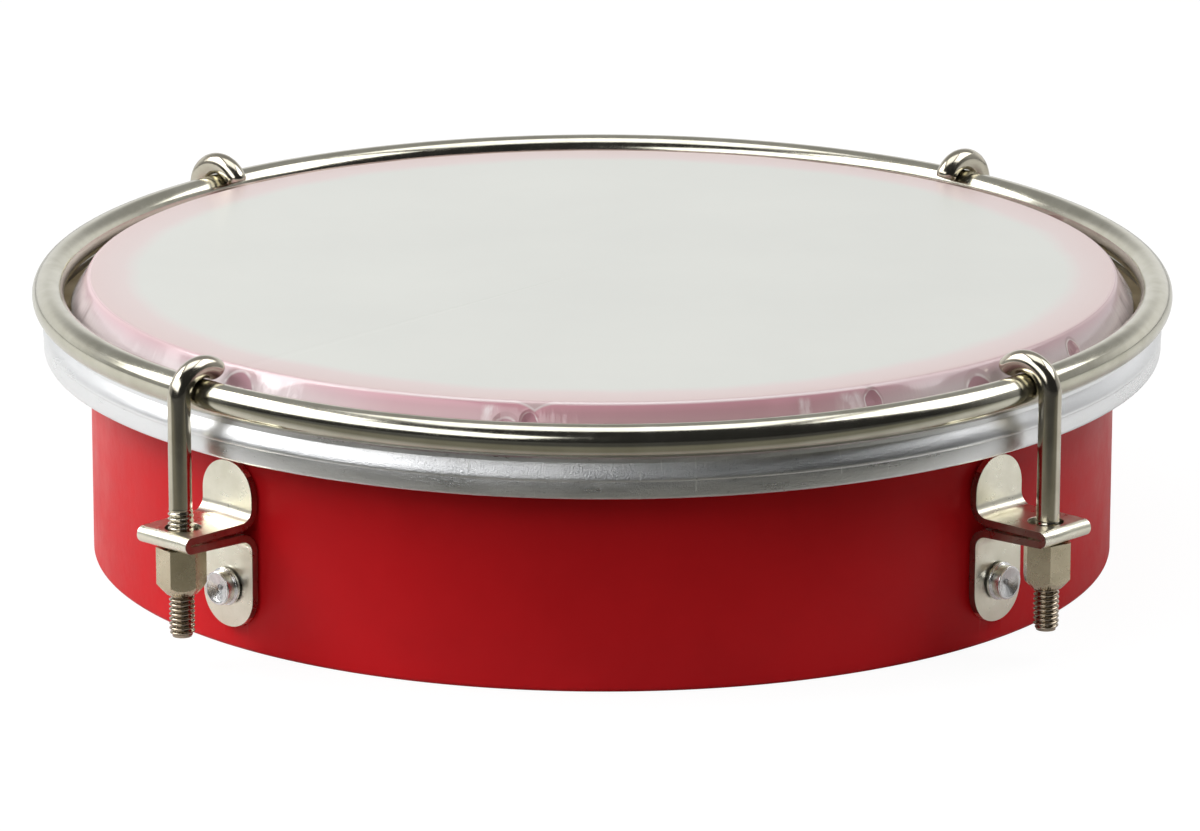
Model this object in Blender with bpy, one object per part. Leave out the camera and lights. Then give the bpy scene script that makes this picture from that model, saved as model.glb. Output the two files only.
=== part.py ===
"""Tamborim: a small hand-held frame drum with one head and four tuning stations.

Metres, +Z up. The origin is the centre of the shell's open base, which lies on z = 0. The playing
face is on top. A station is one bracket with its hook bolt, tuning nut and rivet. An angle of 0 is
the front of the drum, at -Y, and angles grow towards +X.
"""

import math

import bmesh
import bpy

# Shell and head
SHELL_RADIUS = 0.0762
SHELL_WALL = 0.0035
HEAD_HEIGHT = 0.04225
FILM_THICKNESS = 0.0003
BEARING_ROUND = 0.0015
BASE_ROUND = 0.0008
COLLAR_SLOPE = math.radians(32)
FILM_TUCK = 0.0040

# Flesh hoop: the channel that the film's edge is locked in
FLESH_HOOP_WIDTH = 0.0057
FLESH_HOOP_HEIGHT = 0.00565
CHANNEL_WALL = 0.0009
CHANNEL_ROUND = 0.0007
FLESH_HOOP_CLEARANCE = 0.0007
LOCK_RING_HEIGHT = 0.0037
LOCK_RING_BREAK = 0.0004

# Tension hoop: the round rod that the hooks pull down
ROD_RADIUS = 0.00238
ROD_OVERHANG = 0.0015
HOOP_DROP = 0.00256
HOOP_TILT = math.radians(0.9)

# How far the rim can still be pulled down from where it stands
RIM_LOWERING = 0.0015

# Stations
STATIONS = ("front_left", "front_right", "back_right", "back_left")
STATION_TURN = math.radians(1.72)

# Bracket: one strip, folded double under the tuning nut's pull
STRIP_WIDTH = 0.0100
STRIP_THICKNESS = 0.0011
STRIP_SLIT = 0.0002
STRIP_BEND = 0.0024
UPPER_TAB_LENGTH = 0.00805
LOWER_TAB_MARGIN = 0.0037
SHELF_REACH = 0.00385
BOLT_HOLE_CLEARANCE = 0.00075
BOLT_HOLE_INSET = 0.0004

# Hook bolt
WIRE_RADIUS = 0.00165
THREAD_RISE = 0.0002
THREAD_LENGTH = 0.0190
THREAD_LEAD_IN = 0.0006
HOOK_WRAPS = (math.radians(128), math.radians(138), math.radians(147), math.radians(147))
HOOK_TIP_SHARE = 0.62
BOLT_BASE_MARGIN = 0.0043

# Tuning nut
NUT_ACROSS_FLATS = 0.0062
NUT_HEIGHT = 0.0069
NUT_NOSE_RADIUS = 0.0022
NUT_NOSE_SLOPE = math.radians(48)
NUT_TURNS = (math.radians(51), math.radians(47.5), math.radians(10), math.radians(35))

# Blind rivet with its broken-off pin, and the washer inside the shell
RIVET_SHANK_RADIUS = 0.0015
RIVET_FLANGE_RADIUS = 0.0028
RIVET_FLANGE_THICKNESS = 0.0006
RIVET_BOSS_RADIUS = 0.00245
RIVET_BOSS_HEIGHT = 0.0014
RIVET_DISH = 0.0006
RIVET_RISE = 0.43
RIVET_BULB_RADIUS = 0.0023
RIVET_BULB_LENGTH = 0.0026
PIN_RADIUS = 0.00065
PIN_RECESS = 0.0007
PIN_HEAD_RADIUS = 0.0015
PIN_HEAD_LENGTH = 0.0012
WASHER_RADIUS = 0.0040
WASHER_THICKNESS = 0.0008

# Clearances
SEAT_GAP = 0.0003
HOOK_CLEARANCE = 0.0003
THREAD_CLEARANCE = 0.00015
TAB_CLEARANCE = 0.0003

# Facets
RING_STEPS = 72
ROD_SIDES = 12
SMALL_STEPS = 16
ROUND_STEPS = 3
BEND_STEPS = 5
HOOK_STEPS = 10
SHARP_ANGLE = math.radians(35)

# Radii, from the shell outwards
COLLAR_RADIUS = SHELL_RADIUS + SEAT_GAP + FILM_THICKNESS
FLESH_HOOP_INNER = COLLAR_RADIUS + FLESH_HOOP_CLEARANCE
FLESH_HOOP_OUTER = FLESH_HOOP_INNER + FLESH_HOOP_WIDTH
HOOP_RADIUS = FLESH_HOOP_OUTER + ROD_OVERHANG - ROD_RADIUS
HOOK_BEND = ROD_RADIUS + HOOK_CLEARANCE + WIRE_RADIUS
BOLT_RADIUS = HOOP_RADIUS + HOOK_BEND
THREAD_RADIUS = WIRE_RADIUS + THREAD_RISE
TAB_INNER = SHELL_RADIUS + SEAT_GAP
TAB_OUTER = TAB_INNER + STRIP_THICKNESS

# Heights, from the head downwards
SHELL_TOP = HEAD_HEIGHT - FILM_THICKNESS - SEAT_GAP
HOOP_HEIGHT = HEAD_HEIGHT - HOOP_DROP
FLESH_HOOP_TOP = HOOP_HEIGHT - ROD_RADIUS - SEAT_GAP
FLESH_HOOP_BOTTOM = FLESH_HOOP_TOP - FLESH_HOOP_HEIGHT
RIM_LOWEST = FLESH_HOOP_BOTTOM - FLESH_HOOP_OUTER * math.sin(HOOP_TILT) - RIM_LOWERING
UPPER_TAB_TOP = RIM_LOWEST - TAB_CLEARANCE
SHELF_TOP = UPPER_TAB_TOP - UPPER_TAB_LENGTH
SHELF_UNDERSIDE = SHELF_TOP - 2 * STRIP_THICKNESS - STRIP_SLIT
NUT_TOP = SHELF_UNDERSIDE - SEAT_GAP
RIVET_HEIGHT = LOWER_TAB_MARGIN + RIVET_RISE * (SHELF_UNDERSIDE - LOWER_TAB_MARGIN)


def clear_scene():
    for old in list(bpy.data.objects):
        bpy.data.objects.remove(old, do_unlink=True)


def material(name, colour, roughness, metallic, alpha=1.0):
    made = bpy.data.materials.new(name)
    made.use_nodes = True
    shader = made.node_tree.nodes["Principled BSDF"]
    shader.inputs["Base Color"].default_value = (*colour, 1.0)
    shader.inputs["Roughness"].default_value = roughness
    shader.inputs["Metallic"].default_value = metallic
    shader.inputs["Alpha"].default_value = alpha
    return made


def place(obj, parent=None, location=(0, 0, 0), rotation=(0, 0, 0)):
    bpy.context.scene.collection.objects.link(obj)
    obj.parent = parent
    obj.location = location
    obj.rotation_euler = rotation
    return obj


def mesh_object(name, bm, look):
    """The bmesh as an object, closed, facing out and shaded smooth where it is round."""
    bmesh.ops.recalc_face_normals(bm, faces=bm.faces)
    mesh = bpy.data.meshes.new(name)
    bm.to_mesh(mesh)
    bm.free()
    mesh.shade_smooth()
    mesh.set_sharp_from_angle(angle=SHARP_ANGLE)
    if look:
        mesh.materials.append(look)
    return bpy.data.objects.new(name, mesh)


def cutter(obj):
    obj.hide_render = True
    obj.display_type = "WIRE"
    return obj


def cut(obj, tool, operation="DIFFERENCE"):
    boolean = obj.modifiers.new(tool.name, "BOOLEAN")
    boolean.operation = operation
    boolean.object = tool


def arc(centre, radius, start, end, steps):
    """Points of an arc in a plane, from one angle to another, both ends included."""
    turns = (start + (end - start) * i / steps for i in range(steps + 1))
    return [
        (centre[0] + radius * math.cos(a), centre[1] + radius * math.sin(a)) for a in turns
    ]


def broken_box(inner, outer, bottom, top, width):
    """The section of a ring whose four corners are cut off, as (radius, height) points."""
    return [
        (outer, top - width),
        (outer, bottom + width),
        (outer - width, bottom),
        (inner + width, bottom),
        (inner, bottom + width),
        (inner, top - width),
        (inner + width, top),
        (outer - width, top),
    ]


def turned(name, outline, look, steps, axis="Z"):
    """A closed (radius, distance) outline turned once round the object's own Z or X axis."""
    bm = bmesh.new()
    if axis == "Z":
        points = [bm.verts.new((radius, 0, along)) for radius, along in outline]
    else:
        points = [bm.verts.new((along, 0, radius)) for radius, along in outline]
    edges = [bm.edges.new((a, b)) for a, b in zip(points, points[1:] + points[:1])]
    bmesh.ops.spin(
        bm,
        geom=points + edges,
        cent=(0, 0, 0),
        axis=(0, 0, 1) if axis == "Z" else (1, 0, 0),
        angle=2 * math.pi,
        steps=steps,
    )
    bmesh.ops.remove_doubles(bm, verts=bm.verts, dist=1e-6)
    on_axis = [e for e in bm.edges if not e.link_faces]
    bmesh.ops.delete(bm, geom=on_axis, context="EDGES")
    return mesh_object(name, bm, look)


def tilted_height(angle, radius, height):
    """The height of a point of the tilted rim that a level rim would hold at this height."""
    return height - radius * math.cos(angle) * math.sin(HOOP_TILT)


def station_angle(index):
    return math.radians(-45 + 90 * index) + STATION_TURN


def shell(look):
    """The drum's wall: a tube with a rounded bearing edge under the film and a rounded base."""
    inner = SHELL_RADIUS - SHELL_WALL
    break_edge = BASE_ROUND / 2
    outline = arc(
        (SHELL_RADIUS - BEARING_ROUND, SHELL_TOP - BEARING_ROUND),
        BEARING_ROUND,
        math.pi / 2,
        0,
        ROUND_STEPS,
    )
    outline += arc(
        (SHELL_RADIUS - BASE_ROUND, BASE_ROUND), BASE_ROUND, 0, -math.pi / 2, ROUND_STEPS
    )
    outline += [
        (inner + break_edge, 0),
        (inner, break_edge),
        (inner, SHELL_TOP - break_edge),
        (inner + break_edge, SHELL_TOP),
    ]
    return place(turned("shell", outline, look, RING_STEPS))


def film_side(offset):
    """One side of the film from the head's centre out, over the edge and down into the channel.

    The offset is how far this side lies from the shell's bearing edge.
    """
    centre = (SHELL_RADIUS - BEARING_ROUND, SHELL_TOP - BEARING_ROUND)
    radius = BEARING_ROUND + offset
    tuck_radius = FLESH_HOOP_INNER + CHANNEL_WALL + offset
    side = [(0, centre[1] + radius)]
    side += arc(centre, radius, math.pi / 2, COLLAR_SLOPE, ROUND_STEPS)
    last_radius, last_height = side[-1]
    fall = (tuck_radius - last_radius) / math.tan(COLLAR_SLOPE)
    side.append((tuck_radius, last_height - fall))
    side.append((tuck_radius, FLESH_HOOP_TOP - FILM_TUCK))
    return side


def drumhead_film(look):
    """The clear-to-milky skin: flat face, collar, and an edge tucked into the flesh hoop.

    The face lies level on the bearing edge and the tucked edge follows the tilted rim.
    """
    under = film_side(SEAT_GAP)
    over = film_side(SEAT_GAP + FILM_THICKNESS)
    film = turned("drumhead_film", over + under[::-1], look, RING_STEPS)
    collar_top = SHELL_TOP - BEARING_ROUND
    for vertex in film.data.vertices:
        share = (collar_top - vertex.co.z) / (collar_top - FLESH_HOOP_TOP)
        share = min(max(share, 0), 1)
        vertex.co.z += share * vertex.co.y * math.sin(HOOP_TILT)
    return place(film)


def flesh_hoop(look, rim):
    """The channel ring, open at the top, with its outer upper corner rolled."""
    inner, outer = FLESH_HOOP_INNER, FLESH_HOOP_OUTER
    top = FLESH_HOOP_TOP - HOOP_HEIGHT
    bottom = FLESH_HOOP_BOTTOM - HOOP_HEIGHT
    floor = bottom + CHANNEL_WALL
    break_edge = CHANNEL_ROUND / 2
    outline = arc(
        (outer - CHANNEL_ROUND, top - CHANNEL_ROUND), CHANNEL_ROUND, math.pi / 2, 0, ROUND_STEPS
    )
    outline += [
        (outer, bottom + break_edge),
        (outer - break_edge, bottom),
        (inner + break_edge, bottom),
        (inner, bottom + break_edge),
        (inner, top),
        (inner + CHANNEL_WALL, top),
        (inner + CHANNEL_WALL, floor),
        (outer - CHANNEL_WALL, floor),
        (outer - CHANNEL_WALL, top),
    ]
    return place(turned("flesh_hoop", outline, look, RING_STEPS), rim)


def head_lock_ring(look, rim):
    """The ring pressed into the channel beside the film's edge, which holds the film there."""
    inner = FLESH_HOOP_INNER + CHANNEL_WALL + 2 * SEAT_GAP + FILM_THICKNESS
    outer = FLESH_HOOP_OUTER - CHANNEL_WALL - SEAT_GAP
    bottom = FLESH_HOOP_BOTTOM - HOOP_HEIGHT + CHANNEL_WALL + SEAT_GAP
    section = broken_box(inner, outer, bottom, bottom + LOCK_RING_HEIGHT, LOCK_RING_BREAK)
    return place(turned("head_lock_ring", section, look, RING_STEPS), rim)


def tension_hoop(look, rim):
    """The rod ring that lies on the flesh hoop."""
    section = arc((HOOP_RADIUS, 0), ROD_RADIUS, 0, -2 * math.pi, ROD_SIDES)[:-1]
    return place(turned("tension_hoop", section, look, RING_STEPS), rim)


def strip_path():
    """The bracket's middle line in (radius, height), from the upper tab's top to the lower's end.

    Each point comes with the direction square to the strip there, for the strip's two sides.
    """
    tab = TAB_INNER + STRIP_THICKNESS / 2
    upper = SHELF_TOP - STRIP_THICKNESS / 2
    fold = (STRIP_THICKNESS + STRIP_SLIT) / 2
    lower = upper - 2 * fold
    nose = BOLT_RADIUS + SHELF_REACH - STRIP_THICKNESS / 2 - fold
    quarter = math.pi / 2
    path = [((tab, UPPER_TAB_TOP), 0)]
    for centre, radius, start, end, steps in (
        ((tab + STRIP_BEND, upper + STRIP_BEND), STRIP_BEND, 2 * quarter, 3 * quarter, BEND_STEPS),
        ((nose, upper - fold), fold, quarter, -quarter, BEND_STEPS + 1),
        ((tab + STRIP_BEND, lower - STRIP_BEND), STRIP_BEND, quarter, 2 * quarter, BEND_STEPS),
    ):
        inside = start > end
        for i, point in enumerate(arc(centre, radius, start, end, steps)):
            turn = start + (end - start) * i / steps
            path.append((point, turn if inside else turn + math.pi))
    path.append(((tab, LOWER_TAB_MARGIN), 0))
    return path


def strip_outline():
    half = STRIP_THICKNESS / 2
    front = []
    back = []
    for (radius, height), square in strip_path():
        across = (half * math.cos(square), half * math.sin(square))
        front.append((radius + across[0], height + across[1]))
        back.append((radius - across[0], height - across[1]))
    return front + back[::-1]


def bracket(name, look, station, bolt_drill, rivet_drill):
    """Both tabs lie against the shell, and the double shelf between them carries the nut."""
    bm = bmesh.new()
    half = STRIP_WIDTH / 2
    side = bm.faces.new([bm.verts.new((r, -half, z)) for r, z in strip_outline()])
    grown = bmesh.ops.extrude_face_region(bm, geom=[side])
    moved = [v for v in grown["geom"] if isinstance(v, bmesh.types.BMVert)]
    bmesh.ops.translate(bm, verts=moved, vec=(0, STRIP_WIDTH, 0))
    ends = (UPPER_TAB_TOP, LOWER_TAB_MARGIN)
    corners = [
        e
        for e in bm.edges
        if abs(e.verts[0].co.y - e.verts[1].co.y) < 1e-6
        and any(all(abs(v.co.z - end) < 1e-6 for v in e.verts) for end in ends)
    ]
    bmesh.ops.bevel(
        bm,
        geom=corners,
        offset=half * 0.98,
        segments=BEND_STEPS,
        profile=0.5,
        affect="EDGES",
        clamp_overlap=False,
    )
    made = place(mesh_object(name, bm, look), station)
    cut(made, bolt_drill)
    cut(made, rivet_drill)
    return made


def drill(name, station, radius, length, location, rotation):
    """A cylinder that cuts a round hole."""
    bm = bmesh.new()
    bmesh.ops.create_cone(
        bm, cap_ends=True, segments=SMALL_STEPS, radius1=radius, radius2=radius, depth=length
    )
    return place(cutter(mesh_object(name, bm, None)), station, location, rotation)


def hook_bolt(name, look, station, height, wrap):
    """A wire bent over the hoop at its top end and threaded at its lower end.

    Its origin is on the bolt's axis, level with the rod that the hook goes over.
    """
    leg = HOOP_HEIGHT - HOOP_RADIUS * math.sin(HOOP_TILT) * math.cos(station_angle(0))
    leg -= BOLT_BASE_MARGIN
    thread = THREAD_RADIUS / WIRE_RADIUS
    thread_top = -leg + THREAD_LENGTH
    route = [
        (0, -leg, thread * 0.8),
        (0, -leg + THREAD_LEAD_IN, thread),
        (0, thread_top - THREAD_LEAD_IN, thread),
        (0, thread_top, 1),
    ]
    bend = arc((-HOOK_BEND, 0), HOOK_BEND, 0, wrap, HOOK_STEPS)
    route += [(x, z, 1) for x, z in bend]
    route[-1] = (*bend[-1], HOOK_TIP_SHARE)
    curve = bpy.data.curves.new(name, "CURVE")
    curve.dimensions = "3D"
    curve.bevel_depth = WIRE_RADIUS
    curve.bevel_resolution = 4
    curve.use_fill_caps = True
    curve.materials.append(look)
    spline = curve.splines.new("POLY")
    spline.points.add(len(route) - 1)
    for point, (x, z, share) in zip(spline.points, route):
        point.co = (x, 0, z, 1)
        point.radius = share
    return place(bpy.data.objects.new(name, curve), station, (BOLT_RADIUS, 0, height))


def nut_tools():
    """The nut's thread bore, and the turned shape that gives its lower end a nose."""
    bore = THREAD_RADIUS + THREAD_CLEARANCE
    past = NUT_HEIGHT
    top = NUT_HEIGHT / 2 + past
    wide = NUT_ACROSS_FLATS
    rise = (wide - NUT_NOSE_RADIUS) * math.tan(NUT_NOSE_SLOPE)
    outline = [
        (0, top),
        (wide, top),
        (wide, -NUT_HEIGHT / 2 + rise),
        (NUT_NOSE_RADIUS, -NUT_HEIGHT / 2),
        (0, -NUT_HEIGHT / 2),
    ]
    nose = turned("nut_nose_tool", outline, None, SMALL_STEPS)
    thread = turned("nut_bore_tool", [(0, top), (bore, top), (bore, -top), (0, -top)], None, SMALL_STEPS)
    return place(cutter(nose)), place(cutter(thread))


def tuning_nut(name, look, station, turn):
    """A tall hexagon nut with a coned lower end. Its origin is on its thread's axis."""
    bm = bmesh.new()
    corner = NUT_ACROSS_FLATS / 2 / math.cos(math.pi / 6)
    bmesh.ops.create_cone(
        bm, cap_ends=True, segments=6, radius1=corner, radius2=corner, depth=NUT_HEIGHT
    )
    middle = (BOLT_RADIUS, 0, NUT_TOP - NUT_HEIGHT / 2)
    made = place(mesh_object(name, bm, look), station, middle, (0, 0, turn))
    for tool, operation in zip(nut_tools(), ("INTERSECT", "DIFFERENCE")):
        tool.parent = made
        cut(made, tool, operation)
    return made


def rivet_stack():
    """Distances from the drum's axis along a rivet, from its face inwards."""
    seat = TAB_OUTER + SEAT_GAP
    face = seat + RIVET_FLANGE_THICKNESS + RIVET_BOSS_HEIGHT
    washer = SHELL_RADIUS - SHELL_WALL - SEAT_GAP
    bulb = washer - WASHER_THICKNESS - SEAT_GAP
    return seat, face, washer, bulb


def rivet(name, look, station):
    """A hollow rivet: flange and dished boss outside, shank, and the swelled end inside."""
    seat, face, _, bulb = rivet_stack()
    bore = PIN_RADIUS + SEAT_GAP
    tail = bulb - RIVET_BULB_LENGTH
    shoulder = (RIVET_BULB_RADIUS - RIVET_SHANK_RADIUS) / 2
    outline = [
        (bore, tail),
        (RIVET_SHANK_RADIUS, tail),
        (RIVET_BULB_RADIUS, tail + shoulder),
        (RIVET_BULB_RADIUS, bulb - shoulder),
        (RIVET_BULB_RADIUS - shoulder, bulb),
        (RIVET_SHANK_RADIUS, bulb),
        (RIVET_SHANK_RADIUS, seat),
        (RIVET_FLANGE_RADIUS, seat),
        (RIVET_FLANGE_RADIUS, seat + RIVET_FLANGE_THICKNESS / 2),
        (RIVET_BOSS_RADIUS, seat + RIVET_FLANGE_THICKNESS),
        (RIVET_BOSS_RADIUS, face),
        (RIVET_BOSS_RADIUS - RIVET_DISH / 2, face),
        (bore, face - RIVET_DISH),
    ]
    made = turned(name, outline[::-1], look, SMALL_STEPS, "X")
    return place(made, station, (0, 0, RIVET_HEIGHT))


def rivet_pin(name, look, station):
    """The pin that swelled the rivet: its broken end outside and its head inside."""
    _, face, _, bulb = rivet_stack()
    neck = bulb - RIVET_BULB_LENGTH - SEAT_GAP
    end = neck - PIN_HEAD_LENGTH
    outline = [
        (0, face - RIVET_DISH - PIN_RECESS + PIN_RADIUS / 2),
        (PIN_RADIUS / 2, face - RIVET_DISH - PIN_RECESS + PIN_RADIUS / 3),
        (PIN_RADIUS, face - RIVET_DISH - PIN_RECESS),
        (PIN_RADIUS, neck),
        (PIN_HEAD_RADIUS, neck),
        (PIN_HEAD_RADIUS, end + PIN_HEAD_LENGTH / 2),
        (PIN_HEAD_RADIUS / 2, end),
        (0, end),
    ]
    made = turned(name, outline, look, SMALL_STEPS // 2, "X")
    return place(made, station, (0, 0, RIVET_HEIGHT))


def inner_washer(name, look, station):
    """The washer that spreads the rivet's pull over the shell's inner face."""
    _, _, outer_face, _ = rivet_stack()
    inner_face = outer_face - WASHER_THICKNESS
    hole = RIVET_SHANK_RADIUS + SEAT_GAP
    # The washer is flat and the wall behind it is round, so it sits off by the wall's rise
    wall = SHELL_RADIUS - SHELL_WALL
    rise = wall - math.sqrt(wall**2 - WASHER_RADIUS**2)
    outline = [
        (hole, outer_face - rise),
        (WASHER_RADIUS, outer_face - rise),
        (WASHER_RADIUS, inner_face - rise),
        (hole, inner_face - rise),
    ]
    made = turned(name, outline, look, SMALL_STEPS, "X")
    return place(made, station, (0, 0, RIVET_HEIGHT))


def empty(name, location=(0, 0, 0), rotation=(0, 0, 0)):
    return place(bpy.data.objects.new(name, None), None, location, rotation)


def build():
    clear_scene()
    red = material("shell_red", (0.55, 0.015, 0.025), 0.38, 0.0)
    milky = material("film_milky", (0.80, 0.78, 0.74), 0.30, 0.0, 0.75)
    satin = material("hoop_aluminium", (0.72, 0.72, 0.73), 0.38, 1.0)
    plated = material("rod_nickel", (0.66, 0.63, 0.54), 0.22, 1.0)
    strip = material("bracket_nickel", (0.70, 0.66, 0.55), 0.32, 1.0)
    wire = material("bolt_nickel", (0.62, 0.58, 0.48), 0.24, 1.0)
    hexagon = material("nut_nickel", (0.64, 0.60, 0.50), 0.30, 1.0)
    bright = material("rivet_aluminium", (0.80, 0.80, 0.80), 0.28, 1.0)
    resin = material("lock_ring_resin", (0.62, 0.55, 0.40), 0.45, 0.0)
    steel = material("pin_steel", (0.45, 0.45, 0.46), 0.35, 1.0)
    zinc = material("washer_zinc", (0.58, 0.60, 0.63), 0.35, 1.0)

    drum = shell(red)
    drumhead_film(milky)
    rim = empty("rim_axis", (0, 0, HOOP_HEIGHT), (HOOP_TILT, 0, 0))
    flesh_hoop(satin, rim)
    head_lock_ring(resin, rim)
    tension_hoop(plated, rim)

    for index, side in enumerate(STATIONS):
        angle = station_angle(index)
        station = empty("station_" + side, rotation=(0, 0, angle - math.pi / 2))
        bolt_drill = drill(
            "bolt_drill_" + side,
            station,
            THREAD_RADIUS + BOLT_HOLE_CLEARANCE,
            4 * STRIP_BEND,
            (BOLT_RADIUS - BOLT_HOLE_INSET, 0, (SHELF_TOP + SHELF_UNDERSIDE) / 2),
            (0, 0, 0),
        )
        rivet_drill = drill(
            "rivet_drill_" + side,
            station,
            RIVET_SHANK_RADIUS + SEAT_GAP,
            4 * SHELL_WALL,
            (SHELL_RADIUS, 0, RIVET_HEIGHT),
            (0, math.pi / 2, 0),
        )
        cut(drum, rivet_drill)
        bracket("bracket_" + side, strip, station, bolt_drill, rivet_drill)
        rod_height = tilted_height(angle, HOOP_RADIUS, HOOP_HEIGHT)
        hook_bolt("hook_bolt_" + side, wire, station, rod_height, HOOK_WRAPS[index])
        tuning_nut("tuning_nut_" + side, hexagon, station, NUT_TURNS[index])
        rivet("rivet_" + side, bright, station)
        rivet_pin("rivet_pin_" + side, steel, station)
        inner_washer("inner_washer_" + side, zinc, station)


build()
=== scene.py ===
"""The looks of a tamborim: fine shapes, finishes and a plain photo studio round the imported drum.

Metres, +Z up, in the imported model's frame: the shell stands on z = 0 round the Z axis. An angle
of 0 is the front of the drum, at -Y, and angles grow towards +X. A station is one bracket with its
hook bolt, nut and rivet. Its parts are made with +X pointing out of the drum and then turned there.
"""

import functools
import random
from math import atan2, cos, degrees, exp, hypot, pi, radians, sin, sqrt, tan

import bmesh
import bpy
from mathutils import Matrix, Vector


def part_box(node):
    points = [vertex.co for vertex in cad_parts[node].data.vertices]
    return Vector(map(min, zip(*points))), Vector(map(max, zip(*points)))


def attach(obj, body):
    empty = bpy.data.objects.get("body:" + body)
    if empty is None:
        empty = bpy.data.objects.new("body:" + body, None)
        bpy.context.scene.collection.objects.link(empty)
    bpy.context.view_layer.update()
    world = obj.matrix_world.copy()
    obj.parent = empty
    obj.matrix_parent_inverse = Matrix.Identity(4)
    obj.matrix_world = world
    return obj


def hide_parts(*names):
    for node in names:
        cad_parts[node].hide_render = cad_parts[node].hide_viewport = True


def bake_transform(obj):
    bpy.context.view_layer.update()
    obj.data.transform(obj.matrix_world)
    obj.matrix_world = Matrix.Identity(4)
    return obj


STATIONS = ("front_left", "front_right", "back_right", "back_left")
QUARTER = pi / 2

# Shell and head
SHELL_WALL = 0.0035
BEARING_ROUND = 0.0015
BASE_ROUND = 0.0008
INNER_BREAK = 0.0004
FILM_THICKNESS = 0.0003
FILM_SEAT = 0.0003
FILM_TUCK = 0.0040
FILM_ROUND = 0.0004
COLLAR_SLOPE = radians(32)
COLLAR_STEPS = 10
COLLAR_SWELL_POWER = 0.8
FACE_RADII = (0, 0.02, 0.04, 0.06, 0.068, 0.072)
PINK_BAND_WIDTH = 0.0061
PINK_BAND_SOFTNESS = 0.0013

# Soft puckers of the film's collar: angle in degrees, width and how far each stands out
PUCKERS = (
    (-78.0, 0.0030, -0.00020),
    (-62.0, 0.0045, 0.00022),
    (-49.5, 0.0040, -0.00020),
    (-36.4, 0.0036, 0.00030),
    (-30.0, 0.0050, -0.00012),
    (19.0, 0.0024, 0.00015),
    (36.0, 0.0050, 0.00012),
    (52.0, 0.0040, -0.00012),
)
PUCKERS_BEHIND = 22
BEHIND_SPAN = (72, 270)
BEHIND_WIDTHS = (0.0010, 0.0040)
BEHIND_DEPTHS = (-0.00040, 0.00030)
PUCKER_SEED = 7
PUCKER_REACH = 1.6
PUCKER_FLATNESS = 1.35

# Creased lobes of the collar: angle in degrees, half width, and how far below the head each starts
LOBES = (
    (-41.3, 0.0031, 0.0006),
    (-9.9, 0.0022, 0.0018),
    (-7.5, 0.0012, 0.0012),
    (29.3, 0.0013, 0.0006),
    (43.1, 0.0028, 0.0012),
    (60.6, 0.0016, 0.0010),
    (121.0, 0.0024, 0.0009),
    (158.0, 0.0015, 0.0011),
    (-133.0, 0.0026, 0.0010),
)

# Dents in the painted highlight line on the bearing edge: angle in degrees, half width, share of
# the collar
EDGE_DENTS = ((-7.0, 0.0030, 0.16), (29.0, 0.0012, 0.05), (-41.0, 0.0020, 0.06))

# Painted glints on folds of the collar: angle in degrees and half width
FOLD_GLINTS = (
    (-37.4, 0.0024),
    (-34.0, 0.0016),
    (-11.6, 0.0014),
    (21.4, 0.0011),
    (26.6, 0.0026),
    (-158.0, 0.0026),
)

# Nicks in the channel's face: angle in degrees and half width
NICKS = ((3.6, 0.00016), (9.0, 0.00012), (23.6, 0.00010), (140.0, 0.00014), (-118.0, 0.00012))

# Rings
TILT = radians(0.9)
ROD_RADIUS = 0.00238
CHANNEL_WALL = 0.0009
CHANNEL_HEIGHT = 0.00565
CHANNEL_BULGE = 0.0012
CHANNEL_LIP = 0.0003
CHANNEL_STEP = 0.00010
CHANNEL_STEP_SHARE = 0.45
CHANNEL_STEP_RISE = 0.0003
CHANNEL_BULGE_POWER = 1.35
CHANNEL_BULGE_STEPS = 12
CHANNEL_FOOT = 0.0004
CHANNEL_BAND_FOOT = 0.0005
CHANNEL_BAND_SHARE = 0.8
CHANNEL_BREAK = 0.0002

# The channel's step: how far in, as a share of it, and how far above its middle
STEP_SHAPE = ((0.3, 0.0001), (1.0, 0.0), (0.7, -0.0002))
SEAT_GAP = 0.0003

# Bracket
STRIP_WIDTH = 0.0100
STRIP_THICKNESS = 0.0011
STRIP_SLIT = 0.0002
STRIP_GAPE = 0.0004
STRIP_BEND = 0.0024
STRIP_BREAK = 0.00020
BEND_STEPS = 12
FOLD_STEPS = 14
TAB_ROUND_SHARE = 0.98
TAB_ROUND_STEPS = 14
SHELF_REACH = 0.00385
BOLT_HOLE_RADIUS = 0.0026
BOLT_HOLE_INSET = 0.0004
RIVET_DRILL_LENGTH = 0.012

# Hook bolt
WIRE_RADIUS = 0.00165
THREAD_RADIUS = 0.00185
THREAD_ROOT = 0.00146
THREAD_PITCH = 0.0007
THREAD_LENGTHS = (0.0190, 0.0164, 0.0182, 0.0175)
THREAD_FADE = 0.0012
THREAD_LEAD_IN = 0.0008
THREAD_CREST_POWER = 0.75
THREAD_END_SHARE = 0.96
THREAD_SHARP_ANGLE = radians(60)
THREAD_DARKENING_REACH = 0.0100
HOOK_CLEARANCE = 0.0003
HOOK_RISE = 0.00406
HOOK_WRAPS = (radians(126), radians(137), radians(147), radians(147))
HOOK_TIP_LENGTH = 0.0008
HOOK_TIP_SHARE = 0.84
HOOK_TIP_SLANT = 0.25
HOOK_TIP_STEPS = (0.3, 0.6, 0.85, 1.0)
HOOK_STEPS = 30
LEG_STEPS = 6

# Nut
NUT_ACROSS_FLATS = 0.0062
NUT_NOSE_RADIUS = 0.0022
NUT_NOSE_SLOPE = radians(48)
NUT_TURNS = (radians(21), radians(17.5), radians(40), radians(5))
NUT_BORE_RADIUS = 0.0020
NUT_BREAK = 0.00007
NUT_SINK = 0.0003
NUT_CONE_STEPS = 96

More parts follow.
